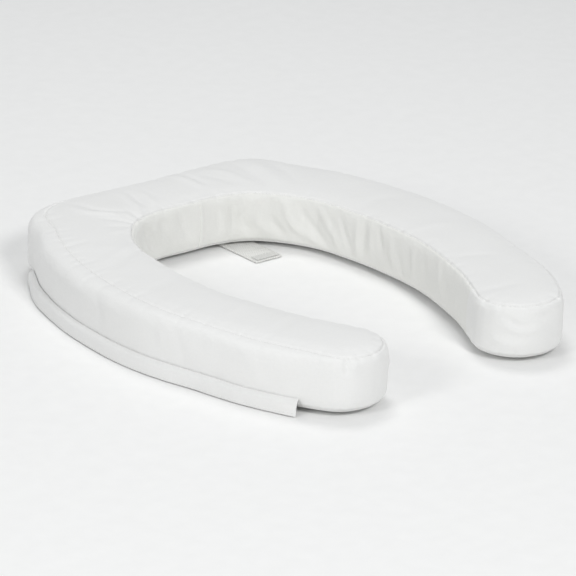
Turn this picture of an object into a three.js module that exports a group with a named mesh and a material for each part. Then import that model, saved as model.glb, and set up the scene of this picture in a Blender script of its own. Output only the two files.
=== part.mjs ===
// Soft horseshoe riser cushion for a toilet seat: foam core, sewn cover, closure flap and fastening strap.
// Millimetres, +Z up. The open end of the horseshoe faces -Y, the rear band lies at +Y.
import * as THREE from 'three';

// ---- driving dimensions ----
const BASE_Z = 4.0;          // underside of the cover, above the strap that lies under it
const TOP_Z = 53.5;          // seating face: a cushion just under 50 mm thick
const ROLL_TOP = 8.0;        // soft edge radius round the seating face
const ROLL_BASE = 6.0;       // soft edge radius round the underside
const SHOULDER = 0.9;        // angle up each roll, in radians, where its seam is sewn
const CLOTH = 1.1;           // quilted cover thickness
const GAP = 0.3;             // clearance between neighbouring pieces
const WELT = 0.9;            // width of the sewn seam ridges, and how far they stand proud
const STEPS = 2;             // outline samples for each station
const STRAP_W = 28.0, STRAP_T = 1.6, STRAP_Z = 1.7;   // webbing width, thickness and mid height
const STRAP_X = 53.5;        // the strap's middle line, right of the cushion's
const ROOT_Y = 194.0, FOLD_Y = 103.35, TAIL_Y = 91.5; // strap root hinge, fold line and free end
const FLAP_TOP = 11.6, FLAP_LOW = 0.4, FLAP_FLARE = 1.6, FLAP_T = 1.3; // closure flap section

// Stations of half the outline [x, y]: rear middle, outer side, arm tip, inner side, rear middle.
const STATIONS = [
  [0, 203.5], [51, 205.5], [95, 204], [126, 190.5], [142.5, 160], [163, 120], [177.5, 65.5], [183, 11],
  [179.5, -40], [166.5, -90], [154, -135], [136.5, -171], [116, -198], [93.5, -204], [71, -198.5],
  [56, -182], [52.5, -161.5], [62.5, -139.5], [75.5, -113.5], [87.5, -79.5], [97.5, -40], [100, 1],
  [97.5, 40.5], [90.5, 78.5], [77, 103.5], [59, 122], [33, 130.5], [0, 131],
];
const LAST = STATIONS.length - 1;
const closedStations = STATIONS.concat(STATIONS.slice(1, LAST).reverse().map(([x, y]) => [-x, y]));
const N = closedStations.length * STEPS;
const right = (i) => i * STEPS;          // sample index of a station on the +X half
const left = (i) => N - i * STEPS;       // and of its mirror image

const curve = new THREE.CatmullRomCurve3(
  closedStations.map(([x, y]) => new THREE.Vector3(x, y, 0)), true, 'centripetal');
const outline = curve.getPoints(N).slice(0, N).map((p) => new THREE.Vector2(p.x, p.y));
const wrap = (i) => ((i % N) + N) % N;
const turning = THREE.ShapeUtils.isClockWise(outline) ? 1 : -1;
const outward = outline.map((p, i) => {
  const t = outline[wrap(i + 1)].clone().sub(outline[wrap(i - 1)]).normalize();
  return new THREE.Vector2(-t.y, t.x).multiplyScalar(turning);
});
const offsetPoint = (i, inset) => outline[wrap(i)].clone().addScaledVector(outward[wrap(i)], -inset);

// ---- builders ----
function meshFrom(points, faces) {
  const volume = faces.reduce((sum, [a, b, c]) =>
    sum + points[a].dot(points[b].clone().cross(points[c])) / 6, 0);
  const index = faces.flatMap(([a, b, c]) => (volume < 0 ? [a, c, b] : [a, b, c]));
  const geometry = new THREE.BufferGeometry();
  geometry.setAttribute('position', new THREE.Float32BufferAttribute(points.flatMap((p) => p.toArray()), 3));
  geometry.setIndex(index);
  geometry.computeVertexNormals();
  return geometry;
}

// A closed body through whole outlines, one for each [inset, z] layer, capped at both ends.
function loft(layers) {
  const points = [], faces = [];
  for (const [inset, z] of layers) {
    for (let i = 0; i < N; i++) {
      const p = offsetPoint(i, inset);
      points.push(new THREE.Vector3(p.x, p.y, z));
    }
  }
  for (let k = 0; k < layers.length - 1; k++) {
    for (let i = 0; i < N; i++) {
      const a = k * N + i, b = k * N + ((i + 1) % N), c = a + N, d = b + N;
      faces.push([a, b, d], [a, d, c]);
    }
  }
  const capOf = (k) => THREE.ShapeUtils.triangulateShape(
    Array.from({ length: N }, (_, i) => new THREE.Vector2(points[k * N + i].x, points[k * N + i].y)), [])
    .map((f) => f.map((v) => v + k * N));
  const signOf = ([a, b, c]) => Math.sign(
    (points[b].x - points[a].x) * (points[c].y - points[a].y) -
    (points[c].x - points[a].x) * (points[b].y - points[a].y));
  const side = outline.length && THREE.ShapeUtils.isClockWise(outline) ? -1 : 1;
  for (const f of capOf(0)) faces.push(signOf(f) === side ? [f[0], f[2], f[1]] : f);
  for (const f of capOf(layers.length - 1)) faces.push(signOf(f) === side ? f : [f[0], f[2], f[1]]);
  return meshFrom(points, faces);
}

// A closed strip that follows the outline from sample a to b with a constant [inset, z] section.
function strip(a, b, section, trim = GAP / 2) {
  const points = [], faces = [], m = section.length, count = b - a + 1;
  for (let k = 0; k < count; k++) {
    const i = a + k;
    const along = outline[wrap(i + 1)].clone().sub(outline[wrap(i - 1)]).normalize();
    const shift = k === 0 ? trim : k === count - 1 ? -trim : 0;
    for (const [inset, z] of section) {
      const p = offsetPoint(i, inset).addScaledVector(along, shift);
      points.push(new THREE.Vector3(p.x, p.y, z));
    }
  }
  for (let k = 0; k < count - 1; k++) {
    for (let j = 0; j < m; j++) {
      const p = k * m + j, q = k * m + ((j + 1) % m);
      faces.push([p, q, q + m], [p, q + m, p + m]);
    }
  }
  const cap = THREE.ShapeUtils.triangulateShape(section.map(([u, z]) => new THREE.Vector2(u, z)), []);
  const area = THREE.ShapeUtils.area(section.map(([u, z]) => new THREE.Vector2(u, z)));
  for (const [p, q, r] of cap) {
    const s = section;
    const turn = (s[q][0] - s[p][0]) * (s[r][1] - s[p][1]) - (s[r][0] - s[p][0]) * (s[q][1] - s[p][1]);
    const f = turn * area > 0 ? [p, q, r] : [p, r, q];
    const e = (count - 1) * m;
    faces.push([f[0], f[2], f[1]], [f[0] + e, f[1] + e, f[2] + e]);
  }
  return meshFrom(points, faces);
}

const slab = (x0, x1, y0, y1, z0, z1) =>
  new THREE.BoxGeometry(x1 - x0, y1 - y0, z1 - z0)
    .translate((x0 + x1) / 2, (y0 + y1) / 2, (z0 + z1) / 2);

const fabric = { color: 0xe9e9e7, roughness: 0.9, metalness: 0 };
const foam = { color: 0xece6cf, roughness: 1, metalness: 0 };
const webbing = { color: 0xe4e4e2, roughness: 0.85, metalness: 0 };
const tape = { color: 0xdededc, roughness: 0.95, metalness: 0 };

const part = new THREE.Group();
function add(name, geometry, look) {
  const mesh = new THREE.Mesh(geometry, new THREE.MeshStandardMaterial(look));
  mesh.name = name;
  part.add(mesh);
}

// Arc of an edge roll between two angles, 0 at the wall and a quarter turn at the face, `depth` under it.
function roll(radius, zFace, direction, depth, from, to, steps) {
  return Array.from({ length: steps + 1 }, (_, k) => {
    const a = from + (k / steps) * (to - from), r = radius - depth;
    return [radius - r * Math.cos(a), zFace - direction * (radius - r * Math.sin(a))];
  });
}

const inner = CLOTH + GAP;

// ---- foam ----
add('foam_core', loft([
  ...roll(ROLL_BASE, BASE_Z, -1, inner, 0, Math.PI / 2, 2).reverse(),
  ...roll(ROLL_TOP, TOP_Z, 1, inner, 0, Math.PI / 2, 3),
]), foam);

// ---- sewn cover ----
const seamHalf = WELT / 2 + GAP;
const panel = (radius, zFace, direction) => {
  const from = SHOULDER + seamHalf / radius;
  return [
    ...roll(radius, zFace, direction, 0, from, Math.PI / 2, 2).reverse(),
    ...roll(radius, zFace, direction, CLOTH, from, Math.PI / 2, 2),
  ];
};
add('cover_top', loft(panel(ROLL_TOP, TOP_Z, 1)), fabric);
add('cover_base', loft(panel(ROLL_BASE, BASE_Z, -1)), fabric);

const wallFace = (depth) => [
  ...roll(ROLL_BASE, BASE_Z, -1, depth, 0, SHOULDER - seamHalf / ROLL_BASE, 2).reverse(),
  ...roll(ROLL_TOP, TOP_Z, 1, depth, 0, SHOULDER - seamHalf / ROLL_TOP, 2),
];
const wall = [...wallFace(0), ...wallFace(CLOTH).reverse()];
const rearSeam = right(26) + 1;   // the upright seam in the inner wall, just right of the rear middle
add('wall_outer_rear', strip(left(3) - N, right(3), wall), fabric);
add('wall_outer_right', strip(right(3), right(11), wall), fabric);
add('wall_outer_left', strip(left(11), left(3), wall), fabric);
add('tip_right', strip(right(11), right(17), wall), fabric);
add('tip_left', strip(left(17), left(11), wall), fabric);
add('wall_inner_right', strip(right(17), rearSeam, wall), fabric);
add('wall_inner_left', strip(rearSeam, left(17), wall), fabric);

// ---- stitched seam ridges ----
const ridge = (radius, zFace, direction) => {
  const turn = WELT / 2 / radius;
  const [a, b] = [SHOULDER - turn, SHOULDER + turn];
  return [
    ...roll(radius, zFace, direction, -WELT, a, b, 1),
    ...roll(radius, zFace, direction, CLOTH, a, b, 1).reverse(),
  ];
};
add('seam_top_outer', strip(left(17) - N, right(17), ridge(ROLL_TOP, TOP_Z, 1)), fabric);
add('seam_top_inner', strip(right(17), left(17), ridge(ROLL_TOP, TOP_Z, 1)), fabric);
add('seam_base_outer', strip(left(17) - N, right(17), ridge(ROLL_BASE, BASE_Z, -1)), fabric);
add('seam_base_inner', strip(right(17), left(17), ridge(ROLL_BASE, BASE_Z, -1)), fabric);

const seamAt = offsetPoint(rearSeam, -GAP), seamOut = outward[rearSeam];
const wallTop = TOP_Z - ROLL_TOP, wallBase = BASE_Z + ROLL_BASE;
add('seam_inner_rear', new THREE.BoxGeometry(5.0, 0.7, wallTop - wallBase)
  .rotateZ(Math.atan2(-seamOut.x, seamOut.y))
  .translate(seamAt.x + seamOut.x * 0.55, seamAt.y + seamOut.y * 0.55, (wallTop + wallBase) / 2), fabric);

// ---- hook and loop closure along the lower edge of the left arm ----
const closeFrom = left(11), closeTo = left(4);
const flapLength = Math.hypot(FLAP_FLARE, FLAP_TOP - FLAP_LOW);
const down = [-FLAP_FLARE / flapLength, (FLAP_LOW - FLAP_TOP) / flapLength];
const inward = [-down[1], down[0]];
const onFlap = (run, lift) => [
  -2.4 + down[0] * run + inward[0] * lift, FLAP_TOP + down[1] * run + inward[1] * lift];
add('closure_hook_tape', strip(closeFrom, closeTo,
  [[-GAP, 2.9], [-GAP, 8.2], [-GAP - 0.8, 8.2], [-GAP - 0.8, 2.9]], 1), tape);
add('closure_loop_tape', strip(closeFrom, closeTo,
  [onFlap(0.8, GAP), onFlap(flapLength - 1.2, GAP),
    onFlap(flapLength - 1.2, GAP + 0.8), onFlap(0.8, GAP + 0.8)], 1), tape);
add('closure_flap', strip(closeFrom, closeTo,
  [onFlap(0, 0), onFlap(flapLength, 0), onFlap(flapLength - 0.9, -FLAP_T), onFlap(0, -FLAP_T)], 0), fabric);

// ---- fastening strap under the rear band ----
const half = STRAP_W / 2, low = STRAP_Z - STRAP_T / 2, high = STRAP_Z + STRAP_T / 2;
const patchLow = BASE_Z - GAP - 0.8, patchHigh = BASE_Z - GAP;
add('strap_anchor',
  slab(STRAP_X - half - 2, STRAP_X + half + 2, ROOT_Y - 12, ROOT_Y + 5, patchLow, patchHigh), fabric);
add('strap_loop_patch', slab(STRAP_X - half, STRAP_X + half, 138, 162, patchLow, patchHigh), tape);
add('strap_web', slab(STRAP_X - half, STRAP_X + half, FOLD_Y + 1, ROOT_Y + 0.7, low, high), webbing);
add('strap_tail', slab(STRAP_X - half, STRAP_X + half, TAIL_Y, FOLD_Y - 0.15, low, high), webbing);
add('strap_hook_tape',
  slab(STRAP_X - half + 2, STRAP_X + half - 2, TAIL_Y + 1.2, FOLD_Y - 1.6, high + GAP, high + GAP + 0.8), tape);

// The origin is the bottom centre of the whole part's box. The closure flap widens one side only,
// so the cushion's middle line stands a little off it.
const box = new THREE.Box3().setFromObject(part, true);
part.position.set(-(box.min.x + box.max.x) / 2, -(box.min.y + box.max.y) / 2, -box.min.z);

export default part;
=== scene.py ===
"""Soft horseshoe riser cushion: a foam ring in a sewn cotton-blend cover, with a closure flap along
its left arm and a fastening strap under its rear band. Metres, +Z up, the open end towards -Y."""
import math

import bpy
import numpy as np
from mathutils import Matrix, Vector, noise
from mathutils.bvhtree import BVHTree
from mathutils.kdtree import KDTree


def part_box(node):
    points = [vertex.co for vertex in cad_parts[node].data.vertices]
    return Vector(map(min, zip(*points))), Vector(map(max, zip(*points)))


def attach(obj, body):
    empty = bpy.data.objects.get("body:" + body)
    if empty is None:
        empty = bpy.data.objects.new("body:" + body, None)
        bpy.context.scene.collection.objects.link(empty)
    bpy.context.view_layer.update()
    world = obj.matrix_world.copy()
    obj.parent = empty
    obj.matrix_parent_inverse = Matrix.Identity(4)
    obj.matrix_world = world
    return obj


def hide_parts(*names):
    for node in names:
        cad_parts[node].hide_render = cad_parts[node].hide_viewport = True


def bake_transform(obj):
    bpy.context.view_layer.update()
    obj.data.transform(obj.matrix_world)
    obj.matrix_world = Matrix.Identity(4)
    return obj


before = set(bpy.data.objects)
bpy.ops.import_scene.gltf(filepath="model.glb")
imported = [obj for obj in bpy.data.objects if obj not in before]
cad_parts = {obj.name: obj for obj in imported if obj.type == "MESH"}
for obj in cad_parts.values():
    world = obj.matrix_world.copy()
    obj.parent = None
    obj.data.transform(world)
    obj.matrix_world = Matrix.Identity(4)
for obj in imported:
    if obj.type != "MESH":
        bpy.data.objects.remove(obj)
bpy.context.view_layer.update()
scene = bpy.context.scene
MM = 0.001
chance = np.random.default_rng(11)


# ---------------------------------------------------------------- camera, floor and lights
def turned(azimuth, elevation, roll):
    """Right, up and back axes of a camera that looks at the object from that side."""
    a, e, r = (math.radians(x) for x in (azimuth, elevation, roll))
    back = Vector((math.sin(a) * math.cos(e), -math.cos(a) * math.cos(e), math.sin(e)))
    level = Vector((math.cos(a), math.sin(a), 0))
    rise = back.cross(level)
    return level * math.cos(r) + rise * math.sin(r), rise * math.cos(r) - level * math.sin(r), back


def aimed(obj, place, right, up, back):
    rows = [[right[k], up[k], back[k], place[k]] for k in range(3)]
    obj.matrix_world = Matrix(rows + [[0, 0, 0, 1]])


def clear():
    """Nothing selected: the loaded frame comes in selected, and operators act on all that is."""
    if bpy.context.object and bpy.context.object.mode != "OBJECT":
        bpy.ops.object.mode_set(mode="OBJECT")
    bpy.ops.object.select_all(action="DESELECT")


def softbox(name, place, aim, size, watts, colour=(1, 1, 1)):
    clear()
    bpy.ops.object.light_add(type="AREA", location=place)
    lamp = bpy.context.object
    lamp.name = name
    lamp.rotation_mode = "QUATERNION"
    lamp.rotation_quaternion = (Vector(aim) - Vector(place)).to_track_quat("-Z", "Y")
    lamp.data.size, lamp.data.energy, lamp.data.color = size, watts, colour


def linear(hex_colour):
    """sRGB hex to the linear colour that a shader takes."""
    parts = [int(hex_colour[i:i + 2], 16) / 255 for i in (1, 3, 5)]
    straight = [c / 12.92 if c <= 0.04045 else ((c + 0.055) / 1.055) ** 2.4 for c in parts]
    return (*straight, 1.0)


def add(tree, kind, settings=(), feeds=()):
    """One node, with its settings and what feeds its sockets: a value, or another node's output."""
    made = tree.nodes.new("ShaderNode" + kind)
    for name, value in dict(settings).items():
        setattr(made, name, value)
    for socket, value in dict(feeds).items():
        if isinstance(value, bpy.types.NodeSocket):
            tree.links.new(value, made.inputs[socket])
        else:
            made.inputs[socket].default_value = value
    return made


def new_material(name):
    material = bpy.data.materials.new(name)
    material.use_nodes = True
    material.node_tree.nodes.clear()
    return material, material.node_tree


def shaded(tree, feeds):
    """The surface shader and the output it goes to."""
    shader = add(tree, "BsdfPrincipled", feeds=feeds)
    add(tree, "OutputMaterial", feeds={"Surface": shader.outputs[0]})


def set_stage():
    clear()
    bpy.ops.object.camera_add()
    camera = bpy.context.object
    camera.name = "studio_camera"
    camera.data.lens, camera.data.sensor_width = 220.58, 36
    camera.data.clip_start, camera.data.clip_end = 0.05, 40
    aimed(camera, Vector((-1.73827, -2.01621, 1.06613)), *turned(-40.766, 21.502, 2.274))
    scene.camera = camera

    bpy.ops.mesh.primitive_plane_add(size=14, location=(0, 0, 0))
    floor = bpy.context.object
    floor.name = "studio_floor"
    paper, tree = new_material("matt_white_backdrop_paper")   # seamless background roll, no gloss
    grain = add(tree, "TexNoise", feeds={"Scale": 900.0, "Detail": 2.0})
    tint = add(tree, "Mix", {"data_type": "RGBA"},
               {0: grain.outputs[0], 6: linear("#f7f7f6"), 7: linear("#f2f2f1")})
    shaded(tree, {"Base Color": tint.outputs[2], "Roughness": 0.9, "Specular IOR Level": 0.15})
    floor.data.materials.append(paper)

    world = bpy.data.worlds.new("white_room")
    world.use_nodes = True
    world.node_tree.nodes["Background"].inputs[0].default_value = linear("#f4f6f8")
    world.node_tree.nodes["Background"].inputs[1].default_value = 0.455
    scene.world = world
    scene.view_settings.view_transform = "Standard"      # whites stay white, as under studio light
    softbox("softbox_above", (0.3, 0.6, 2.0), (0, 0.05, 0), 0.7, 10.7)
    softbox("softbox_front", (-0.45, -2.42, 2.05), (0, 0, 0.03), 0.7, 35.0)
    softbox("softbox_left", (-2.25, -0.35, 1.15), (0, 0, 0.03), 0.6, 12.5)


set_stage()
bpy.context.view_layer.update()

# ---------------------------------------------------------------- sizes shared with the frame
# BASE and TOP are the underside and the seating face. Sewn edges are rolled, and the seam lies on
# the roll, SHOULDER radians from level. A station is a place on the outline, numbered from the rear
# middle (0) round the right arm to the inner rear middle (27), and back round the left arm (54).
low_corner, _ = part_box("cover_base")
_, high_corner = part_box("cover_top")
BASE, TOP = low_corner.z, high_corner.z
MIDDLE = (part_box("wall_outer_left")[0].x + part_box("wall_outer_right")[1].x) / 2
INNER_FROM, INNER_TO = 17, 37                       # stations between which the inner wall runs
ROLL_TOP, ROLL_BASE, SHOULDER = 8.0 * MM, 6.0 * MM, 0.9
TOP_EDGE = (ROLL_TOP, TOP - ROLL_TOP, 1)            # roll, level of its middle, way to its seam
BASE_EDGE = (ROLL_BASE, BASE + ROLL_BASE, -1)
STRAP_X = (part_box("strap_web")[0].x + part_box("strap_web")[1].x) / 2
WEAVE = 0.8 * MM                                    # drawn spacing of the cloth's threads
STATIONS = [
    (0, 203.5), (51, 205.5), (95, 204), (126, 190.5), (142.5, 160), (163, 120), (177.5, 65.5),
    (183, 11), (179.5, -40), (166.5, -90), (154, -135), (136.5, -171), (116, -198), (93.5, -204),
    (71, -198.5), (56, -182), (52.5, -161.5), (62.5, -139.5), (75.5, -113.5), (87.5, -79.5),
    (97.5, -40), (100, 1), (97.5, 40.5), (90.5, 78.5), (77, 103.5), (59, 122), (33, 130.5),
    (0, 131)]


def outline_of(stations, steps):
    """Closed smooth line through the stations, with the station each point lies at, as a number."""
    ring = np.array(stations + [(-x, y) for x, y in stations[-2:0:-1]], float)
    points, places = [], []
    for i in range(len(ring)):
        four = [ring[(i + k) % len(ring)] for k in (-1, 0, 1, 2)]
        spans = [math.sqrt(np.linalg.norm(four[k + 1] - four[k])) for k in range(3)]
        t = np.cumsum([0] + spans)
        for s in range(steps):
            u = t[1] + (t[2] - t[1]) * s / steps
            blend = lambda a, b, ta, tb: a * (tb - u) / (tb - ta) + b * (u - ta) / (tb - ta)
            a = [blend(four[k], four[k + 1], t[k], t[k + 1]) for k in range(3)]
            b = [blend(a[k], a[k + 1], t[k], t[k + 2]) for k in range(2)]
            points.append(blend(b[0], b[1], t[1], t[2]))
            places.append(i + s / steps)
    return np.array(points) * MM, np.array(places)


fine, fine_places = outline_of(STATIONS, 24)
fine += (MIDDLE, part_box("wall_outer_rear")[1].y - fine[:, 1].max())


def spaced(points, places, count):
    """The same closed line at even steps: points, their outward directions, and their stations."""
    loop = np.vstack([points, points[:1]])
    run = np.concatenate([[0], np.cumsum(np.linalg.norm(np.diff(loop, axis=0), axis=1))])
    at = np.arange(count) * run[-1] / count
    out = np.stack([np.interp(at, run, loop[:, k]) for k in (0, 1)], axis=1)
    along = np.roll(out, -1, axis=0) - np.roll(out, 1, axis=0)
    along /= np.linalg.norm(along, axis=1)[:, None]
    station = np.interp(at, run, np.append(places, len(STATIONS) * 2 - 2))
    return out, np.stack([-along[:, 1], along[:, 0]], axis=1), station, run[-1]


COUNT = 960
outline, outward, station, ROUND = spaced(fine, fine_places, COUNT)
STEP = ROUND / COUNT

# How much farther in than elsewhere the top seam lies, in millimetres at each station. Along the
# left arm the outer wall's cloth rolls over onto the seating face, most of all at the rear corner.
ROLLED_IN = [(0, 0), (41, 0), (42, 1.5), (43, 6), (44, 7), (45, 5.5), (46, 8), (47, 11), (48, 11.5),
             (49, 12.5), (50, 11), (51, 8), (52, 4), (53, 1), (54, 0)]
rolled_in = np.interp(station, *np.array(ROLLED_IN, float).T) * MM
for _ in range(40):
    rolled_in = (rolled_in * 2 + np.roll(rolled_in, 1) + np.roll(rolled_in, -1)) / 4


def seam_reach(i, roll_size, level, away):
    """The middle of a rolled edge at sample i, and the direction from there to its seam."""
    inset = rolled_in[i] if away > 0 else 0.0
    lean = SHOULDER + 0.4 * min(inset / (6 * MM), 1.0)
    centre = Vector((*(outline[i] - outward[i] * (roll_size + inset)), level))
    return centre, Vector((*(outward[i] * math.cos(lean)), away * math.sin(lean)))


# ---------------------------------------------------------------- finishes
def cloth(name, colour, shade, crinkle=1.0, uv=True):
    """Plain-woven cloth. Its threads lie about 0.3 mm apart, drawn coarser so that they show as a
    faint grain in close views. The pattern follows each panel's own straight grain."""
    material, tree = new_material(name)
    coords = add(tree, "TexCoord")
    place = coords.outputs["Object"]
    lie = coords.outputs["UV"] if uv else place
    band = 2 * math.pi / (20 * 2 * WEAVE)       # Wave repeats every 2 pi / (20 x scale) metres
    warp, weft = (
        add(tree, "TexWave", {"bands_direction": way},
            {"Vector": lie, "Scale": band, "Distortion": 0.5, "Detail": 1.0, "Detail Scale": 0.4})
        for way in ("X", "Y"))
    over = add(tree, "Math", {"operation": "MULTIPLY"}, {0: warp.outputs[1], 1: weft.outputs[1]})
    slub = add(tree, "TexNoise",
               feeds={"Vector": lie, "Scale": 420.0, "Detail": 3.0, "Roughness": 0.6})
    crease = add(tree, "TexNoise", feeds={"Vector": place, "Scale": 42.0, "Detail": 3.0,
                                          "Roughness": 0.48, "Distortion": 0.7})
    cloudy = add(tree, "TexNoise", feeds={"Vector": place, "Scale": 16.0, "Detail": 2.0})
    fleck = add(tree, "Math", {"operation": "MULTIPLY_ADD", "use_clamp": True},
                {0: slub.outputs[0], 1: 0.5, 2: 0.0})
    mixed = add(tree, "Math", {"operation": "MULTIPLY_ADD", "use_clamp": True},
                {0: cloudy.outputs[0], 1: 0.55, 2: fleck.outputs[0]})
    tint = add(tree, "Mix", {"data_type": "RGBA"},
               {0: mixed.outputs[0], 6: linear(colour), 7: linear(shade)})
    rough = add(tree, "MapRange", feeds={0: slub.outputs[0], 3: 0.78, 4: 0.92})
    folds = add(tree, "Bump", feeds={"Strength": 0.32 * crinkle, "Distance": 1.6 * MM,
                                     "Height": crease.outputs[0]})
    lint = add(tree, "Bump", feeds={"Strength": 0.22, "Distance": 0.25 * MM,
                                    "Height": slub.outputs[0], "Normal": folds.outputs[0]})
    weave = add(tree, "Bump", feeds={"Strength": 0.22, "Distance": 0.12 * MM,
                                     "Height": over.outputs[0], "Normal": lint.outputs[0]})
    shaded(tree, {"Base Color": tint.outputs[2], "Roughness": rough.outputs[0], "IOR": 1.46,
                  "Specular IOR Level": 0.28, "Sheen Weight": 0.22, "Sheen Roughness": 0.5,
                  "Normal": weave.outputs[0]})
    return material


def spun(name, colour):
    """Twisted polyester sewing thread: two plies, a soft shine along the twist."""
    material, tree = new_material(name)
    coords = add(tree, "TexCoord")
    twist = add(tree, "TexWave", {"bands_direction": "DIAGONAL"},
                {"Vector": coords.outputs["Object"], "Scale": 420.0, "Distortion": 0.6})
    tint = add(tree, "Mix", {"data_type": "RGBA"},
               {0: twist.outputs[1], 6: linear(colour), 7: linear("#dcdcd8")})
    ply = add(tree, "Bump", feeds={"Strength": 0.4, "Distance": 0.1 * MM,
                                   "Height": twist.outputs[1]})
    shaded(tree, {"Base Color": tint.outputs[2], "Roughness": 0.55, "IOR": 1.54,
                  "Sheen Weight": 0.15, "Normal": ply.outputs[0]})
    return material


def hook_face(name, colour):
    """Woven nylon hook tape: rows of stiff little hooks 1.6 mm apart on a plain ground, which is
    painted darker between the hooks as painted shade.
    """
    material, tree = new_material(name)
    coords = add(tree, "TexCoord")
    cells = add(tree, "TexVoronoi", {"feature": "F1"},
                {"Vector": coords.outputs["Object"], "Scale": 1 / (1.6 * MM), "Randomness": 0.35})
    ends = add(tree, "MapRange",
               feeds={0: cells.outputs["Distance"], 1: 0.15, 2: 0.6, 3: 1.0, 4: 0.0})
    # painted shade: the ground between the hooks is coloured darker than the hooks' tops
    tint = add(tree, "Mix", {"data_type": "RGBA"},
               {0: ends.outputs[0], 6: linear("#cfcfcc"), 7: linear(colour)})
    stand = add(tree, "Bump", feeds={"Strength": 0.8, "Distance": 0.7 * MM,
                                     "Height": ends.outputs[0]})
    shaded(tree, {"Base Color": tint.outputs[2], "Roughness": 0.5, "IOR": 1.53,
                  "Normal": stand.outputs[0]})
    return material


def loop_face(name, colour):
    """Brushed nylon loop tape: a fuzzy pile of fine loops, matt and soft edged."""
    material, tree = new_material(name)
    coords = add(tree, "TexCoord")
    place = coords.outputs["Object"]
    tuft = add(tree, "TexNoise", feeds={"Vector": place, "Scale": 900.0, "Detail": 4.0,
                                        "Roughness": 0.7, "Distortion": 1.5})
    clump = add(tree, "TexNoise", feeds={"Vector": place, "Scale": 120.0, "Detail": 2.0})
    mixed = add(tree, "Math", {"operation": "MULTIPLY"}, {0: tuft.outputs[0], 1: clump.outputs[0]})
    tint = add(tree, "Mix", {"data_type": "RGBA"},
               {0: mixed.outputs[0], 6: linear(colour), 7: linear("#cdcdc9")})
    pile = add(tree, "Bump", feeds={"Strength": 0.9, "Distance": 0.8 * MM,
                                    "Height": tuft.outputs[0]})
    shaded(tree, {"Base Color": tint.outputs[2], "Roughness": 0.95, "IOR": 1.5,
                  "Sheen Weight": 0.5, "Sheen Roughness": 0.6, "Normal": pile.outputs[0]})
    return material


def ribbed_webbing(name, colour):
    """Herringbone polyester webbing: slanted ribs 2 mm apart, turning every 4 mm, firm and matt.
    The grooves between the ribs are painted darker, as painted shade.
    """
    material, tree = new_material(name)
    coords = add(tree, "TexCoord")
    place = coords.outputs["Object"]
    centred = add(tree, "Mapping", feeds={"Vector": place, "Location": (-STRAP_X, 0, 0)})
    split = add(tree, "SeparateXYZ", feeds={0: centred.outputs[0]})
    side = add(tree, "Math", {"operation": "PINGPONG"}, {0: split.outputs[0], 1: 4.0 * MM})
    slant = add(tree, "Math", {"operation": "ADD"}, {0: split.outputs[1], 1: side.outputs[0]})
    lie = add(tree, "CombineXYZ",
              feeds={0: slant.outputs[0], 1: split.outputs[1], 2: split.outputs[2]})
    ribs = add(tree, "TexWave", {"bands_direction": "X"},
               {"Vector": lie.outputs[0], "Scale": 2 * math.pi / (20 * 2 * MM), "Distortion": 0.3})
    fuzz = add(tree, "TexNoise", feeds={"Vector": place, "Scale": 1300.0, "Detail": 2.0})
    # painted shade: the grooves between the ribs are coloured darker than the ribs' crests
    tint = add(tree, "Mix", {"data_type": "RGBA"},
               {0: ribs.outputs[1], 6: linear("#d9d9d6"), 7: linear(colour)})
    rib = add(tree, "Bump", feeds={"Strength": 0.6, "Distance": 0.45 * MM,
                                   "Height": ribs.outputs[1]})
    fibre = add(tree, "Bump", feeds={"Strength": 0.2, "Distance": 0.2 * MM,
                                     "Height": fuzz.outputs[0], "Normal": rib.outputs[0]})
    shaded(tree, {"Base Color": tint.outputs[2], "Roughness": 0.74, "IOR": 1.52,
                  "Sheen Weight": 0.12, "Normal": fibre.outputs[0]})
    return material


# Polyester and cotton cloth gives the soft matt white of a washable cover. The inner wall's copy is
# painted a little darker and warmer, as painted shade and warm bounce light inside the ring, and
# is more creased. Nylon tapes are duller, and the webbing is firm and ribbed.
COVER = cloth("polycotton_cover_cloth", "#f0f0ef", "#e6e6e4")
# painted shade: the inner wall's cloth is coloured darker and warmer than the cover's
INNER = cloth("polycotton_inner_wall_cloth_painted_shade", "#eeeeeb", "#e4e4e0", crinkle=1.25)
FLAP = cloth("polycotton_flap_cloth", "#efefee", "#e4e4e2", crinkle=0.7)
PATCH = cloth("polycotton_patch_cloth", "#ededeb", "#e2e2e0", crinkle=0.5, uv=False)
THREAD = spun("polyester_sewing_thread", "#f4f4f1")
HOOKS = hook_face("nylon_hook_tape", "#e6e6e3")
LOOPS = loop_face("nylon_loop_tape", "#e8e8e5")
WEBBING = ribbed_webbing("polyester_herringbone_webbing", "#eeeeeb")


def pick(obj):
    """Only this piece is selected and active, as operators need."""
    clear()
    obj.select_set(True)
    bpy.context.view_layer.objects.active = obj


def finished(obj, name, body, slot, *materials, smooth=None):
    """Names a piece, gives it its materials, and lets it ride on its body."""
    obj.name = obj.data.name = name
    for material in materials:
        obj.data.materials.append(material)
    pick(obj)
    if smooth is None:
        bpy.ops.object.shade_smooth()
    else:
        bpy.ops.object.shade_smooth_by_angle(angle=math.radians(smooth))
    if body:
        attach(obj, body)
    return obj


def apply_modifiers(obj):
    pick(obj)
    for modifier in list(obj.modifiers):
        bpy.ops.object.modifier_apply(modifier=modifier.name)


def coordinates(mesh, what="co"):
    """Every vertex's place, or with "normal" the direction it faces, as rows of three."""
    rows = np.empty(len(mesh.vertices) * 3)
    mesh.vertices.foreach_get(what, rows)
    return rows.reshape(-1, 3)


def place_vertices(mesh, co):
    mesh.vertices.foreach_set("co", np.ascontiguousarray(co, dtype=np.float32).ravel())
    mesh.update()


def search_tree(points):
    """Finds which of these points is nearest, by its number."""
    tree = KDTree(len(points))
    for i, p in enumerate(points):
        tree.insert(p, i)
    tree.balance()
    return tree


def skin_of(mesh):
    """The surface of a mesh, to find the point of it that lies nearest or is met first."""
    return BVHTree.FromPolygons([v.co for v in mesh.vertices],
                                [p.vertices[:] for p in mesh.polygons])


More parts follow.
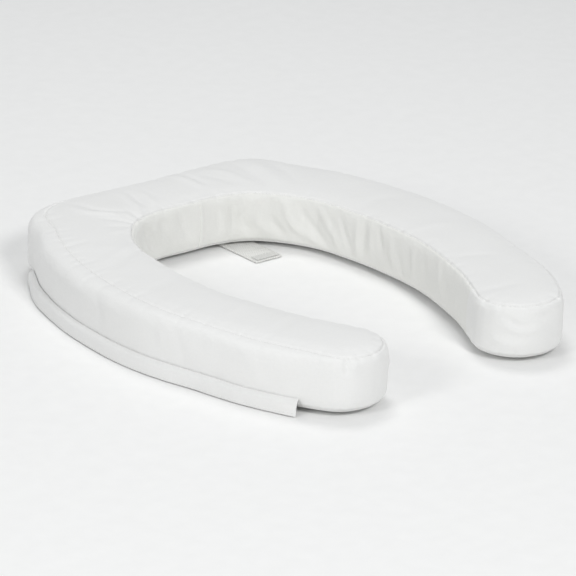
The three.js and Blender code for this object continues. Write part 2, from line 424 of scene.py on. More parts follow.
# ---------------------------------------------------------------- cushion
START_IN, START_LOW = 1.6 * MM, 2.4 * MM       # the block starts smaller, since stuffing swells it
EDGE_ROLL = 7.5 * MM                           # radius of the rolled edges, held during stuffing
CLOTH_GRID = 3.8 * MM                          # mesh spacing of the cloth that is simulated
SWELL_TOP, SWELL_SIDE = 4.2 * MM, 3.0 * MM     # the most that stuffing may move the cloth
around = search_tree([(x, y, 0) for x, y in outline])


def cut_cushion():
    """The stuffed cover: its outline raised to a block, edges rolled, then blown up as cloth."""
    height = TOP - BASE - START_LOW
    clear()
    bpy.ops.mesh.primitive_circle_add(vertices=COUNT // 2, radius=0.1, fill_type="NGON")
    block = bpy.context.object
    ring = (outline - outward * START_IN)[::2]
    place_vertices(block.data, np.column_stack([ring, np.full(len(ring), BASE)]))
    bpy.ops.object.mode_set(mode="EDIT")
    bpy.ops.mesh.select_all(action="SELECT")
    bpy.ops.mesh.extrude_region_move(TRANSFORM_OT_translate={"value": (0, 0, height)})
    bpy.ops.mesh.select_all(action="SELECT")
    bpy.ops.mesh.normals_make_consistent(inside=False)
    bpy.ops.object.mode_set(mode="OBJECT")
    rolls = block.modifiers.new("rolled_edges", "BEVEL")
    rolls.width, rolls.segments, rolls.limit_method = EDGE_ROLL, 5, "ANGLE"
    rolls.angle_limit = math.radians(60)
    grid = block.modifiers.new("even_cloth_grid", "REMESH")
    grid.mode, grid.voxel_size, grid.use_smooth_shade = "VOXEL", CLOTH_GRID, True
    apply_modifiers(block)
    stuff(block, BASE, BASE + height)
    fineness = block.modifiers.new("finer_cloth", "SUBSURF")
    fineness.levels = fineness.render_levels = 1
    apply_modifiers(block)
    return block


def stuff(block, floor, lid):
    """Blows the cover up from inside as cloth. The sewn edges and the flat underside are held."""
    before = coordinates(block.data)
    height = before[:, 2]
    nearest = np.array([around.find((x, y, 0))[1:] for x, y, _ in before])
    inward = nearest[:, 1] - rolled_in[nearest[:, 0].astype(int)]
    near_edge = (inward < EDGE_ROLL) & (inward > -3 * MM)
    held = (height < floor + 3.2 * MM) | (near_edge & (height > lid - 3.4 * MM))
    group = block.vertex_groups.new(name="sewn_and_resting")
    group.add([int(i) for i in np.nonzero(held)[0]], 1.0, "REPLACE")
    blown = block.modifiers.new("stuffing", "CLOTH")
    settings = blown.settings
    settings.quality, settings.mass = 6, 0.15
    settings.tension_stiffness = settings.compression_stiffness = 9.0
    settings.shear_stiffness, settings.bending_stiffness = 4.0, 0.4
    settings.use_pressure, settings.uniform_pressure_force = True, 4.0
    settings.effector_weights.gravity = 0.0
    settings.vertex_group_mass = group.name
    blown.collision_settings.use_collision = False
    blown.collision_settings.use_self_collision = False
    blown.point_cache.frame_start, blown.point_cache.frame_end = 1, 20
    for number in range(1, 21):
        scene.frame_set(number)
    apply_modifiers(block)
    moved = coordinates(block.data) - before
    far = np.linalg.norm(moved, axis=1)
    cap = np.where(height > lid - 4 * MM, SWELL_TOP, SWELL_SIDE)
    ease = np.where(far > 1e-9, cap * np.tanh(far / cap) / np.maximum(far, 1e-9), 1.0)
    place_vertices(block.data, before + moved * ease[:, None])
    block.vertex_groups.clear()


def ring_facts(co):
    """For each point: how far round the outline it lies, its depth inside the wall, and its
    nearest outline sample."""
    nearest = np.array([around.find((x, y, 0))[1] for x, y, _ in co])
    gap = co[:, :2] - outline[nearest]
    normal = outward[nearest]
    run = nearest * STEP + gap[:, 0] * normal[:, 1] - gap[:, 1] * normal[:, 0]
    return run, -(gap * normal).sum(axis=1), nearest


def smooth_line(points, step):
    """A smooth open line through a few points, in even steps."""
    p = np.array(points, float)
    if len(p) > 2:
        ends = np.vstack([2 * p[0] - p[1], p, 2 * p[-1] - p[-2]])
        out = []
        for i in range(1, len(ends) - 2):
            a, b, c, d = ends[i - 1:i + 3]
            for t in np.arange(0, 1, 0.05):
                out.append(0.5 * (2 * b + (c - a) * t + (2 * a - 5 * b + 4 * c - d) * t * t
                                  + (3 * b - a - 3 * c + d) * t ** 3))
        p = np.array(out + [p[-1]])
    run = np.concatenate([[0], np.cumsum(np.linalg.norm(np.diff(p, axis=0), axis=1))])
    at = np.linspace(0, run[-1], max(4, int(run[-1] / step)))
    return np.stack([np.interp(at, run, p[:, k]) for k in range(3)], axis=1)


# Folds and creases of the cover: half width, height (below zero for a valley), and the points each
# runs through, in millimetres from the cushion's middle line. They are laid on the surface, so the
# points' heights need not be exact.
FOLDS = [
    # seating face, rear band
    (4.0, 1.5, [(-92, 179, 53), (-85, 156, 53), (-66, 140, 53), (-60, 123, 53)]),
    (3.0, -0.9, [(-83, 182, 53), (-75, 158, 53), (-57, 142, 53)]),
    (3.2, 1.0, [(-36, 182, 53), (-42, 157, 53), (-43, 141, 53)]),
    (2.8, -0.8, [(-29, 180, 53), (-35, 157, 53), (-37, 143, 53)]),
    (3.0, 0.9, [(-20, 176, 53), (-25, 150, 53), (-29, 138, 53)]),
    (4.2, 1.3, [(27, 198, 53), (29, 179, 53), (30, 154, 53)]),
    (3.4, -0.9, [(37, 196, 53), (38, 176, 53), (37, 156, 53)]),
    (4.6, 1.1, [(58, 190, 53), (69, 168, 53), (70, 143, 53)]),
    (4.0, -0.8, [(47, 180, 53), (55, 162, 53), (59, 146, 53)]),
    (8.0, 1.5, [(105, 190, 53), (101, 159, 53), (90, 124, 53)]),
    (5.0, -0.9, [(89, 188, 53), (87, 160, 53), (79, 132, 53)]),
    (5.0, -0.7, [(119, 172, 53), (115, 146, 53), (105, 118, 53)]),
    # seating face, puckers that run to the inner rear corner
    (2.2, -1.1, [(-65, 121, 53), (-75, 132, 53), (-87, 142, 53)]),
    (2.0, -1.0, [(-62, 124, 53), (-65, 136, 53), (-69, 148, 53)]),
    (2.0, -0.9, [(-57, 127, 53), (-55, 138, 53), (-55, 150, 53)]),
    (2.0, 0.8, [(-51, 130, 53), (-47, 141, 53), (-44, 152, 53)]),
    (2.2, -0.9, [(-69, 116, 53), (-82, 121, 53), (-95, 124, 53)]),
    (2.4, 0.9, [(-71, 112, 53), (-85, 112, 53), (-101, 110, 53)]),
    # seating face, left arm
    (4.0, -0.9, [(-98, 74, 53), (-120, 62, 53), (-142, 47, 53)]),
    (4.0, 0.6, [(-100, 82, 53), (-123, 72, 53), (-145, 60, 53)]),
    (3.0, -0.7, [(-151, 108, 53), (-139, 107, 53), (-125, 105, 53)]),
    (5.0, -0.5, [(-103, 10, 53), (-125, 0, 53), (-151, -6, 53)]),
    (6.0, 0.6, [(-97, -60, 53), (-117, -76, 53), (-139, -84, 53)]),
    (5.0, -0.6, [(-85, -112, 53), (-107, -122, 53), (-127, -128, 53)]),
    # seating face, right arm
    (5.0, -0.5, [(107, 40, 53), (129, 46, 53), (151, 44, 53)]),
    (6.0, 0.5, [(107, -20, 53), (129, -24, 53), (153, -34, 53)]),
    (4.0, -0.6, [(93, -86, 53), (107, -92, 53), (127, -104, 53)]),
    (4.0, -0.6, [(61, -150, 53), (79, -158, 53), (99, -160, 53)]),
    # inner wall, rear left corner round to the right arm
    (3.6, -1.9, [(-57, 121, 46), (-50, 125, 36), (-42, 127, 24), (-31, 128, 12)]),
    (3.8, 1.4, [(-39, 127, 38), (-30, 128, 26), (-17, 129, 10)]),
    (3.4, -1.0, [(-11, 130, 44), (-7, 130, 30), (-1, 130, 18)]),
    (4.0, 1.0, [(29, 128, 44), (33, 127, 30), (35, 127, 16)]),
    (3.6, -1.1, [(41, 125, 42), (43, 125, 30), (45, 124, 20)]),
    (3.6, 1.7, [(63, 116, 49), (59, 119, 40), (61, 118, 26), (68, 112, 14)]),
    (4.4, -2.2, [(50, 123, 33), (51, 123, 24), (57, 120, 15)]),
    (3.6, -1.3, [(69, 110, 46), (67, 113, 34)]),
    (3.6, 2.0, [(74, 103, 48), (77, 99, 36), (80, 95, 25), (89, 77, 11)]),
    (4.0, -1.9, [(70, 110, 31), (72, 107, 22), (77, 99, 13)]),
    (3.4, -1.5, [(82, 92, 46), (84, 88, 36), (88, 80, 27), (91, 70, 17), (92, 64, 10)]),
    (3.4, 1.6, [(89, 76, 46), (91, 68, 35), (93, 57, 22), (94, 52, 12)]),
    (3.0, 1.3, [(85, 86, 22), (89, 77, 14), (91, 69, 9)]),
    (3.4, -1.5, [(94, 52, 42), (95, 45, 27), (96, 37, 12)]),
    (3.2, 1.4, [(96, 33, 43), (97, 32, 29), (97, 31, 13)]),
    (2.8, -1.1, [(97, 25, 46), (97, 24, 30), (97, 24, 16)]),
    (2.8, 1.1, [(98, 18, 48), (98, 17, 32), (98, 15, 14)]),
    (3.0, -1.3, [(98, 10, 48), (98, 5, 34), (98, 1, 22)]),
    (3.0, 0.9, [(98, -6, 42), (98, -8, 28), (98, -9, 12)]),
    (3.0, -1.0, [(98, -2, 34), (98, -5, 22), (98, -10, 10)]),
    (3.2, -0.9, [(98, -18, 30), (97, -21, 20), (97, -24, 10)]),
    (3.6, 0.8, [(96, -34, 44), (95, -37, 28), (95, -40, 12)]),
    (3.4, -0.8, [(93, -52, 40), (92, -56, 26), (91, -60, 12)]),
    (4.0, 0.8, [(87, -76, 44), (85, -82, 28), (83, -88, 12)]),
    # near arm tip
    (2.3, -2.6, [(-113, -200, 52), (-113, -200, 46), (-113, -200, 37)]),
    (3.0, 0.9, [(-107, -202, 50), (-107, -202, 40)]),
    (3.0, -0.6, [(-85, -203, 42), (-84, -203, 30), (-85, -203, 20)]),
    (2.4, -1.0, [(-79, -200, 50), (-71, -196, 47), (-65, -190, 44)]),
    (3.0, 0.9, [(-71, -194, 40), (-65, -187, 32), (-63, -182, 22)]),
    # far arm tip
    (2.4, -1.2, [(59, -188, 40), (67, -196, 34), (79, -201, 33)]),
    (2.6, 1.2, [(59, -186, 33), (69, -197, 28), (85, -203, 29)]),
    (2.8, -1.1, [(71, -199, 42), (85, -203, 39), (99, -204, 40)]),
    (3.2, 1.0, [(55, -178, 22), (63, -192, 17), (77, -201, 19)]),
    (2.0, -1.2, [(116, -194, 49), (120, -189, 44), (122, -186, 36)]),
    (2.2, 0.9, [(107, -199, 50), (113, -197, 46)]),
    (3.0, -0.8, [(91, -204, 26), (99, -204, 20), (109, -200, 16)]),
    # outer wall, left arm
    (4.2, -0.45, [(-173, -66, 44), (-171, -72, 30), (-170, -76, 18)]),
    (4.6, 0.4, [(-177, -50, 40), (-176, -56, 26)]),
    (3.6, -0.4, [(-181, 26, 46), (-182, 20, 36), (-182, 14, 24)]),
    (4.6, 0.4, [(-155, -128, 42), (-151, -138, 28), (-149, -144, 16)]),
]


# How far the seating face falls towards its seam, in millimetres at each station.
SLOPED = [(0, 0.9), (37, 0.9), (39.5, 2.4), (44, 2.4), (46, 1.1), (54, 0.9)]


def shape_cushion(block):
    """Puts the folds, the slack and the puckers at the seams into the stuffed cover, and lets
    the seating face fall away towards its seam.
    """
    mesh = block.data
    co = coordinates(mesh)
    _, depth, nearest = ring_facts(co)
    # Where the wall's cloth rolls over onto the seating face, the edge falls away in a wide curve.
    roll_in = rolled_in[nearest]
    fall = 0.42 * roll_in * (1 - np.clip(depth / (roll_in + 3 * MM), 0, 1)) ** 2
    # The seating face crowns: it slopes down to its seam, most at the left arm's tip.
    inside = np.clip(depth - roll_in - 3 * MM, 0, None)
    slope = np.interp(station[nearest], *np.array(SLOPED, float).T) * MM
    fall += slope * np.exp(-(inside / (9 * MM)) ** 2)
    co[:, 2] -= fall * np.clip((co[:, 2] - BASE - 18 * MM) / (24 * MM), 0, 1)
    place_vertices(mesh, co)
    normals = coordinates(mesh, "normal")
    shift = np.zeros(len(co))
    near = search_tree(co)
    skin = BVHTree.FromPolygons([Vector(p) for p in co], [p.vertices[:] for p in mesh.polygons])

    def press(points, width, height, blunt=0.6):
        line = smooth_line(points, width / 3)
        line = [skin.find_nearest(Vector(p))[0] for p in line]
        touched = {}
        for k, p in enumerate(line):
            taper = math.sin(math.pi * (k + 0.5) / len(line)) ** blunt
            for _, i, far in near.find_range(p, 2.6 * width):
                value = taper * math.exp(-(far / width) ** 2)
                if value > touched.get(i, 0):
                    touched[i] = value
        for i, value in touched.items():
            shift[i] += value * height

    for width, height, points in FOLDS:
        press([Vector(p) * MM + Vector((MIDDLE, 0, 0)) for p in points], width * MM, height * MM)

    # Slack in the cloth: long upright waves on the walls, a gentler roll on the seating face.
    def noise_at(*place):
        return noise.noise(Vector(place))

    flat = np.clip((np.abs(normals[:, 2]) - 0.35) / 0.4, 0, 1)
    inner = (station[nearest] > 16.5) & (station[nearest] < 37.5)
    for i, (x, y, z) in enumerate(co):
        wave = noise_at(x * 26, y * 26, z * 7) + 0.5 * noise_at(x * 61, y * 61, z * 16 + 5)
        roll = noise_at(x * 15, y * 15, 3.3) + 0.35 * noise_at(x * 44, y * 44, 9.1)
        slack = 1.15 if inner[i] else 0.75
        shift[i] += ((1 - flat[i]) * wave * slack + flat[i] * roll * 0.55) * MM

    # Short puckers that the stitching pulls across the top seam, smaller ones at the lower seam.
    for roll_size, level, away in (TOP_EDGE, BASE_EDGE):
        at = 0.0
        while at < ROUND - 8 * MM:
            i = int(at / STEP) % COUNT
            centre, reach = seam_reach(i, roll_size, level, away)
            out = Vector((*outward[i], 0))
            edge = centre + reach * roll_size
            long_in, long_down = chance.uniform(5, 13) * MM, chance.uniform(4, 11) * MM
            lean = Vector((-out.y, out.x, 0)) * chance.uniform(-3, 3) * MM
            strength = chance.uniform(0.35, 0.95) * (0.85 if away > 0 else 0.6)
            down = Vector((0, 0, away)) - out * min(rolled_in[i] / (8 * MM), 1.0) * (away > 0)
            if away > 0:
                press([edge, edge - out * long_in * 0.5 + lean * 0.5,
                       edge - out * long_in + lean], 1.9 * MM, -0.75 * strength * MM, 0.4)
            press([edge, edge - down * long_down * 0.5 + lean * 0.4,
                   edge - down * long_down + lean], 1.8 * MM, -0.7 * strength * MM, 0.4)
            at += chance.uniform(9, 24) * MM

    resting = np.clip((co[:, 2] - BASE - 0.8 * MM) / (4 * MM), 0, 1)   # it stays flat underneath
    co = co + normals * (shift * resting)[:, None]
    co[:, 2] = np.maximum(co[:, 2], BASE)
    place_vertices(mesh, co)


def seam_line(skin, edge):
    """Where a sewn edge lies on the cover: points, and the cover's outward directions there."""
    points, faces = [], []
    for i in range(COUNT):
        centre, reach = seam_reach(i, *edge)
        hit, normal, _, _ = skin.ray_cast(centre + reach * 0.03, -reach, 0.05)
        points.append(hit if hit else centre + reach * edge[0])
        faces.append(normal if hit else reach)
    return evened(points, 6), evened(faces, 6)


def evened(rows, times):
    """Running average along a closed line."""
    a = np.array([tuple(r) for r in rows])
    for _ in range(times):
        a = (a * 2 + np.roll(a, -1, axis=0) + np.roll(a, 1, axis=0)) / 4
    return a


def sink_seam(block, points, width, depth):
    """Draws the cover in along a seam, after its faces there are made finer."""
    mesh = block.data
    near = search_tree(points)
    pick(block)
    chosen = [near.find(p.center)[2] < 3.4 * MM for p in mesh.polygons]
    bpy.ops.object.mode_set(mode="EDIT")
    bpy.ops.mesh.select_all(action="DESELECT")
    bpy.ops.mesh.select_mode(type="FACE")
    bpy.ops.object.mode_set(mode="OBJECT")
    mesh.polygons.foreach_set("select", chosen)
    bpy.ops.object.mode_set(mode="EDIT")
    bpy.ops.mesh.subdivide(number_cuts=1, smoothness=0.0)
    bpy.ops.object.mode_set(mode="OBJECT")
    co = coordinates(mesh)
    far = np.array([near.find(p)[2] for p in co])
    groove = -depth * np.exp(-(far / width) ** 2)
    swell = 0.28 * depth * np.exp(-((far - 2.6 * width) / (1.3 * width)) ** 2)
    co += coordinates(mesh, "normal") * (groove + swell)[:, None]
    co[:, 2] = np.maximum(co[:, 2], BASE)
    place_vertices(mesh, co)


def lay_grain(block):
    """A flat map of each panel, in metres, so that the weave follows the cloth: straight on the
    seating face and underside, along the wall on the walls. Inner wall faces take their own
    material."""
    mesh = block.data
    co = coordinates(mesh)
    run, depth, nearest = ring_facts(co)
    upper = co[:, 2] > (TOP + BASE) / 2
    to_top = np.arctan2(co[:, 2] - (TOP - ROLL_TOP), ROLL_TOP + rolled_in[nearest] - depth)
    to_base = np.arctan2((BASE + ROLL_BASE) - co[:, 2], ROLL_BASE - depth)
    rolled = np.where(upper, to_top, to_base)
    loops = np.empty(len(mesh.loops), int)
    mesh.loops.foreach_get("vertex_index", loops)
    starts, totals = np.empty((2, len(mesh.polygons)), int)
    mesh.polygons.foreach_get("loop_start", starts)
    mesh.polygons.foreach_get("loop_total", totals)
    owner = np.repeat(np.arange(len(starts)), totals)
    on_roll = np.where(rolled < SHOULDER, 1.0, 0.0)
    wall = np.bincount(owner, on_roll[loops]) / totals > 0.5
    first = run[loops[starts]]
    along = run[loops] - first[owner]
    along = first[owner] + along - ROUND * np.round(along / ROUND)
    repeat = 2 * WEAVE
    fit = round(ROUND / repeat) * repeat / ROUND     # a whole number of weave repeats all round
    up_wall = co[:, 2] + np.where(upper, np.clip(depth, 0, 20 * MM), 0)
    on_wall = np.column_stack([along * fit, up_wall[loops]])
    uv = np.where(wall[owner][:, None], on_wall, co[loops, :2])
    layer = mesh.uv_layers.new(name="cloth_grain")
    layer.data.foreach_set("uv", np.ascontiguousarray(uv, dtype=np.float32).ravel())
    spot = station[nearest[loops[starts]]]
    inner = wall & (spot > INNER_FROM) & (spot < INNER_TO)
    mesh.polygons.foreach_set("material_index", inner.astype(np.int32))


cushion = cut_cushion()
shape_cushion(cushion)
unsewn = skin_of(cushion.data)
top_points, top_faces = seam_line(unsewn, TOP_EDGE)
low_points, low_faces = seam_line(unsewn, BASE_EDGE)
sink_seam(cushion, top_points, 0.85 * MM, 1.2 * MM)
sink_seam(cushion, low_points, 0.85 * MM, 0.7 * MM)
lay_grain(cushion)
skin = skin_of(cushion.data)
finished(cushion, "cushion_cover", "cushion", "cover", COVER, INNER)
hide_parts("foam_core", "cover_top", "cover_base", "wall_outer_rear", "wall_outer_right",
            "wall_outer_left", "tip_right", "tip_left", "wall_inner_right", "wall_inner_left")


# ---------------------------------------------------------------- seams and stitches
SEAM_THICK, SEAM_SUNK = 0.9 * MM, 1.1 * MM           # the cloth edge folded into a seam
# Stitches: their spacing, length and thread thickness.
SEAM_STITCH = (3.0 * MM, 2.0 * MM, 0.26 * MM)
LAP_STITCH = (3.2 * MM, 2.3 * MM, 0.42 * MM)
FLAP_STITCH = (3.4 * MM, 2.4 * MM, 0.42 * MM)
PATCH_STITCH = (3.0 * MM, 2.1 * MM, 0.40 * MM)
HOOK_STITCH = (3.0 * MM, 2.1 * MM, 0.36 * MM)


def seam_cord(name, points, faces, node):
    """The folded cloth edge in a seam: a line of vertices made a curve, then a round mesh."""
    clear()
    bpy.ops.mesh.primitive_circle_add(vertices=len(points), radius=0.1)
    line = bpy.context.object
    facing = faces / np.linalg.norm(faces, axis=1)[:, None]
    place_vertices(line.data, points - facing * SEAM_SUNK)
    bpy.ops.object.mode_set(mode="EDIT")
    bpy.ops.mesh.select_all(action="DESELECT")
    bpy.ops.object.mode_set(mode="OBJECT")
    for edge in line.data.edges:                     # the one that would close the line
        edge.select = set(edge.vertices) == {0, len(points) - 1}
    bpy.ops.object.mode_set(mode="EDIT")
    bpy.ops.mesh.select_mode(type="EDGE")
    bpy.ops.mesh.delete(type="EDGE_FACE")
    bpy.ops.object.mode_set(mode="OBJECT")
    bpy.ops.object.convert(target="CURVE")
    line = bpy.context.object
    line.data.bevel_depth, line.data.bevel_resolution = SEAM_THICK / 2, 2
    line.data.use_fill_caps = True
    bpy.ops.object.convert(target="MESH")
    line = bpy.context.object
    finished(line, name, "cushion", "seam", COVER, smooth=60)
    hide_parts(node)


def one_stitch(length, thick):
    """One stitch, its long side along X: a short thread that dips into the cloth at both ends."""
    clear()
    bpy.ops.mesh.primitive_uv_sphere_add(segments=6, ring_count=6, radius=1.0)
    stitch = bpy.context.object
    bpy.ops.object.mode_set(mode="EDIT")
    bpy.ops.mesh.select_all(action="SELECT")
    bpy.ops.transform.resize(value=(thick / 2, thick / 2, length / 2))
    bpy.ops.object.mode_set(mode="OBJECT")
    co = coordinates(stitch.data)[:, [2, 1, 0]]
    co[:, 2] -= 0.35 * thick * (2 * co[:, 0] / length) ** 2 * 2
    faces = [p.vertices[:][::-1] for p in stitch.data.polygons]
    bpy.data.objects.remove(stitch)
    return co, faces


def stitches(name, points, faces, size, body, lift=0.0, across=0.0):
    """Copies of one stitch, spaced along a line on the cloth. `across` turns them, in degrees."""
    pitch, length, thick = size
    pattern, polygons = one_stitch(length, thick)
    line, up = np.array(points), np.array(faces)
    steps = np.linalg.norm(np.diff(line, axis=0), axis=1)
    run = np.concatenate([[0], np.cumsum(steps)])
    read = lambda rows, at: np.array([np.interp(at, run, rows[:, c]) for c in range(3)])
    number = max(1, int(run[-1] / pitch))
    verts, all_faces = [], []
    for k in range(number):
        at = (k + 0.5) * run[-1] / number
        spot, up_here = read(line, at), read(up, at)
        up_here /= np.linalg.norm(up_here)
        x = read(line, at + 0.4 * pitch) - read(line, at - 0.4 * pitch)
        x -= up_here * x.dot(up_here)
        x /= np.linalg.norm(x)
        y = np.cross(up_here, x)
        turn = math.radians(across + chance.normal(0, 3))
        x, y = (x * math.cos(turn) + y * math.sin(turn), y * math.cos(turn) - x * math.sin(turn))
        base = len(verts)
        verts.extend(spot + up_here * lift + pattern @ np.array([x, y, up_here]))
        all_faces.extend(tuple(i + base for i in f) for f in polygons)
    mesh = bpy.data.meshes.new(name)
    mesh.from_pydata([tuple(v) for v in verts], [], all_faces)
    row = bpy.data.objects.new(name, mesh)
    scene.collection.objects.link(row)
    finished(row, name, body, "seam", THREAD)


# Where outer seams meet inner ones, at the arms' tips.
tip_right, tip_left = (int(np.argmin(abs(station - s))) for s in (INNER_FROM, INNER_TO))
outer_range = list(range(tip_left, COUNT)) + list(range(0, tip_right + 1))
inner_range = list(range(tip_right, tip_left + 1))
for level, points, faces in (("top", top_points, top_faces), ("base", low_points, low_faces)):
    for side, samples in (("outer", outer_range), ("inner", inner_range)):
        seam = f"seam_{level}_{side}"
        seam_cord(f"{seam}_fold", points[samples], faces[samples], seam)
        stitches(f"{seam}_thread", points[samples], faces[samples], SEAM_STITCH, "cushion",
                 lift=-0.5 * MM, across=14)


def on_cover(x, y, z, toward):
    """The point of the cover that is met when coming from `toward`, and the direction it faces."""
    toward = Vector(toward).normalized()
    hit, normal, _, _ = skin.ray_cast(Vector((x, y, z)) + toward * 0.02, -toward, 0.05)
    return hit, normal


def sheet_of(name, width_points, length_points, place, thickness, soften=0.3 * MM):
    """A thin panel: a grid whose vertices `place` puts at (across, along), given thickness and
    softened edges."""
    clear()
    bpy.ops.mesh.primitive_grid_add(x_subdivisions=width_points - 1,
                                    y_subdivisions=length_points - 1, size=2)
    panel = bpy.context.object
    co = coordinates(panel.data)
    share = (co[:, :2] + 1) / 2
    place_vertices(panel.data, np.array([tuple(place(u, v)) for u, v in share]))
    layer = panel.data.uv_layers.active or panel.data.uv_layers.new()
    layer.name = "cloth_grain"
    body = panel.modifiers.new("cloth_thickness", "SOLIDIFY")
    body.thickness, body.offset, body.use_even_offset = thickness, 0.0, True
    soft = panel.modifiers.new("softened_edges", "BEVEL")
    soft.width, soft.segments, soft.limit_method = soften, 2, "ANGLE"
    soft.angle_limit = math.radians(50)
    apply_modifiers(panel)
    return panel


def scale_uv(panel, width, length):
    layer = panel.data.uv_layers.active
    uv = np.empty(len(layer.data) * 2, np.float32)
    layer.data.foreach_get("uv", uv)
    uv = uv.reshape(-1, 2) * (width, length)
    layer.data.foreach_set("uv", np.ascontiguousarray(uv, dtype=np.float32).ravel())


# The upright seam in the inner wall: a lapped strip with a row of stitches along each edge.
upright_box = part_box("seam_inner_rear")
seam_x = (upright_box[0].x + upright_box[1].x) / 2 - 4.2 * MM
at_seam = int(np.argmin(np.hypot(*(outline - (seam_x, upright_box[0].y)).T)))
seam_out = Vector((*outward[at_seam], 0))
seam_along = Vector((-seam_out.y, seam_out.x, 0))
seam_middle = Vector((*outline[at_seam], 0))
seam_low, seam_high = 8.4 * MM, 47.6 * MM


def on_upright(u, v, lift=0.12 * MM):
    wobble = 0.5 * MM * noise.noise(Vector((v * 5, 2.2, 0)))
    spot = seam_middle + seam_along * ((u - 0.5) * 3.8 * MM + wobble)
    hit, normal = on_cover(spot.x, spot.y, seam_low + v * (seam_high - seam_low), seam_out)
    hump = 0.22 * MM * math.sin(math.pi * min(max(u, 0), 1))
    return hit + normal * (lift + hump)


upright = sheet_of("seam_inner_rear_strip", 9, 30, on_upright, 0.5 * MM, 0.2 * MM)
scale_uv(upright, 5 * MM, 39 * MM)
finished(upright, "seam_inner_rear_strip", "cushion", "seam", INNER, smooth=50)
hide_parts("seam_inner_rear")
for label, u in (("left", 0.2), ("right", 0.8)):
    rows = np.array([tuple(on_upright(u, v, 0.24 * MM)) for v in np.linspace(0.03, 0.97, 26)])
    stitches(f"seam_inner_rear_thread_{label}", rows, np.array([tuple(seam_out)] * len(rows)),
             LAP_STITCH, "cushion")


# ---------------------------------------------------------------- closure flap along the left arm
FLAP_FROM, FLAP_TO = (int(np.argmin(abs(station - s))) for s in (43, 50))
FLAP_SEWN, FLAP_BEND, FLAP_LOW = 13.0 * MM, 11.0 * MM, 0.75 * MM      # heights above the floor
FLAP_OUT = 3.7 * MM                                 # how far out its free edge stands
SEWN_SHARE = 0.15                                   # part of its width that is sewn down
FLAP_LENGTH = (FLAP_TO - FLAP_FROM) * STEP


def on_flap(u, v, lift=0.0):
    """u runs down the flap from its sewn edge, v along it from the front end to the rear end."""
    at = FLAP_FROM + v * (FLAP_TO - FLAP_FROM)
    i = int(at)
    t = at - i
    spot = outline[i % COUNT] * (1 - t) + outline[(i + 1) % COUNT] * t
    out = Vector((*outward[i % COUNT], 0))
    wave = noise.noise(Vector((v * 9.0, 1.7, 0))) + 0.5 * noise.noise(Vector((v * 26.0, 4.1, 0)))
    curl = math.exp(-(v * FLAP_LENGTH / (12 * MM)) ** 2)       # the front end stands off a little
    settle = min((1 - v) * FLAP_LENGTH / (30 * MM), 1.0)       # the rear end hugs the wall
    sewn, _ = on_cover(spot[0], spot[1], FLAP_SEWN, out)
    start = (Vector(sewn[:]) - Vector((*spot, 0))).dot(out) + 0.35 * MM
    over = max(start, 2.3 * MM)
    if u < SEWN_SHARE:
        t = u / SEWN_SHARE
        reach, z = start + (over - start) * t, FLAP_SEWN + (FLAP_BEND - FLAP_SEWN) * t
    else:
        t = (u - SEWN_SHARE) / (1 - SEWN_SHARE)
        flare = t * (FLAP_OUT - over) + t * t * (wave * 0.6 + curl * 1.0) * MM
        reach = over + flare * settle
        z = FLAP_BEND + t * (FLAP_LOW + 0.2 * abs(wave) * MM - FLAP_BEND)
    belly = math.sin(math.pi * u) * (0.35 + 0.3 * wave) * MM
    facing = Vector((out.x, out.y, 0.15)).normalized()
    return Vector((*spot, 0)) + out * reach + Vector((0, 0, z)) + facing * (belly + lift)


flap = sheet_of("closure_flap_cloth", 10, 250, on_flap, 1.25 * MM)
scale_uv(flap, 13 * MM, FLAP_LENGTH)
finished(flap, "closure_flap_cloth", "cushion", "cover", FLAP, smooth=55)
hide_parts("closure_flap")
for label, u in (("sewn", 0.09), ("hem", 0.82)):
    steps = np.linspace(0.004, 0.996, 240)
    rows = np.array([tuple(on_flap(u, v, 0.66 * MM)) for v in steps])
    samples = (FLAP_FROM + (steps * (FLAP_TO - FLAP_FROM)).astype(int)) % COUNT
    ups = np.array([(*outward[i], 0.15) for i in samples])
    stitches(f"closure_flap_thread_{label}", rows, ups, FLAP_STITCH, "cushion")


# ---------------------------------------------------------------- strap under the rear band
web, tail, anchor, loops_box, hook_box = (
    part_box(f"strap_{part}") for part in ("web", "tail", "anchor", "loop_patch", "hook_tape"))
STRAP_Z = (web[0].z + web[1].z) / 2
STRAP_W = web[1].x - web[0].x
FOLD_Y = (web[0].y + tail[1].y) / 2
ROOT_Y = web[1].y
MEET_Y = FOLD_Y + 7 * MM                            # where the two lengths of webbing join
STRAP_THICK = 1.45 * MM


def webbing(name, y_from, y_to):
    """A length of webbing with firm selvedges and a faint wave across it."""
    def place(u, v):
        bow = 0.10 * MM * math.cos(2 * math.pi * (u - 0.5) * 2)
        return Vector((STRAP_X + (u - 0.5) * STRAP_W, y_from + v * (y_to - y_from), STRAP_Z + bow))
    rows = max(6, int(abs(y_to - y_from) / (2 * MM)))
    length = sheet_of(name, 15, rows, place, STRAP_THICK, 0.4 * MM)
    return finished(length, name, None, "webbing", WEBBING, smooth=50)


strap = webbing("strap_webbing", ROOT_Y + 3.2 * MM, MEET_Y + 0.1 * MM)
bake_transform(strap)
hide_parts("strap_web")

tail_end = webbing("strap_tail_webbing", MEET_Y - 0.1 * MM, tail[0].y)
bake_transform(tail_end)
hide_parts("strap_tail")


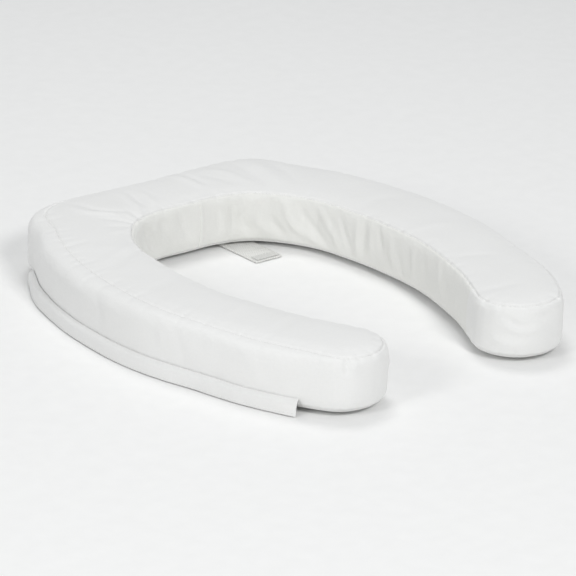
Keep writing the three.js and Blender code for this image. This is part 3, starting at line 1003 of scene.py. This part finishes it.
def patch(name, box, body, slot, material, node):
    """A flat sewn-on patch with softened edges, in place of its frame node."""
    (x0, y0, z0), (x1, y1, z1) = box
    middle = (z0 + z1) / 2
    place = lambda u, v: Vector((x0 + u * (x1 - x0), y0 + v * (y1 - y0), middle))
    piece = sheet_of(name, 16, 14, place, z1 - z0, 0.3 * MM)
    finished(piece, name, body, slot, material, smooth=50)
    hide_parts(node)


def border(box, inset, z, cross=False):
    """Stitch lines round a patch, and the crossed pair inside it where it carries load."""
    (x0, y0), (x1, y1) = [p + inset for p in box[0][:2]], [p - inset for p in box[1][:2]]
    corners = [(x0, y0), (x1, y0), (x1, y1), (x0, y1), (x0, y0)]
    lines = [corners]
    if cross:
        lines += [[(x0, y0), (x1, y1)], [(x1, y0), (x0, y1)]]
    out = []
    for line in lines:
        for (ax, ay), (bx, by) in zip(line, line[1:]):
            t = np.linspace(0, 1, 12)[:, None]
            out.append(np.hstack([(1 - t) * (ax, ay) + t * (bx, by), np.full((12, 1), z)]))
    return out


def sew(name, lines, way, size, body):
    """A row of stitches along each line, facing up (1) or down (-1)."""
    for k, line in enumerate(lines):
        stitches(f"{name}_thread_{k + 1}", line, np.array([(0, 0, way)] * len(line)), size, body,
                 lift=0.02 * MM)


patch("strap_anchor_cloth", anchor, "cushion", "cover", PATCH, "strap_anchor")
patch("strap_loop_pile", loops_box, "cushion", "tape", LOOPS, "strap_loop_patch")
sew("strap_anchor", border(anchor, 1.8 * MM, anchor[0].z, cross=True), -1.0, PATCH_STITCH,
    "cushion")
sew("strap_loop_patch", border(loops_box, 1.8 * MM, loops_box[0].z), -1.0, PATCH_STITCH, "cushion")

hook_ground = hook_box[1] - Vector((0, 0, 0.35 * MM))          # leaves room for the hooks' height
patch("strap_hook_face", (hook_box[0], hook_ground), "strap_tail", "tape", HOOKS, "strap_hook_tape")
sew("strap_hook_tape", border(hook_box, 1.3 * MM, hook_box[1].z - 0.33 * MM), 1.0, HOOK_STITCH,
    "strap_tail")

# ---------------------------------------------------------------- closure tapes keep their shapes
for node, material in (("closure_hook_tape", HOOKS), ("closure_loop_tape", LOOPS)):
    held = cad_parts[node]
    held.data.materials.clear()
    held.data.materials.append(material)

bpy.context.view_layer.update()
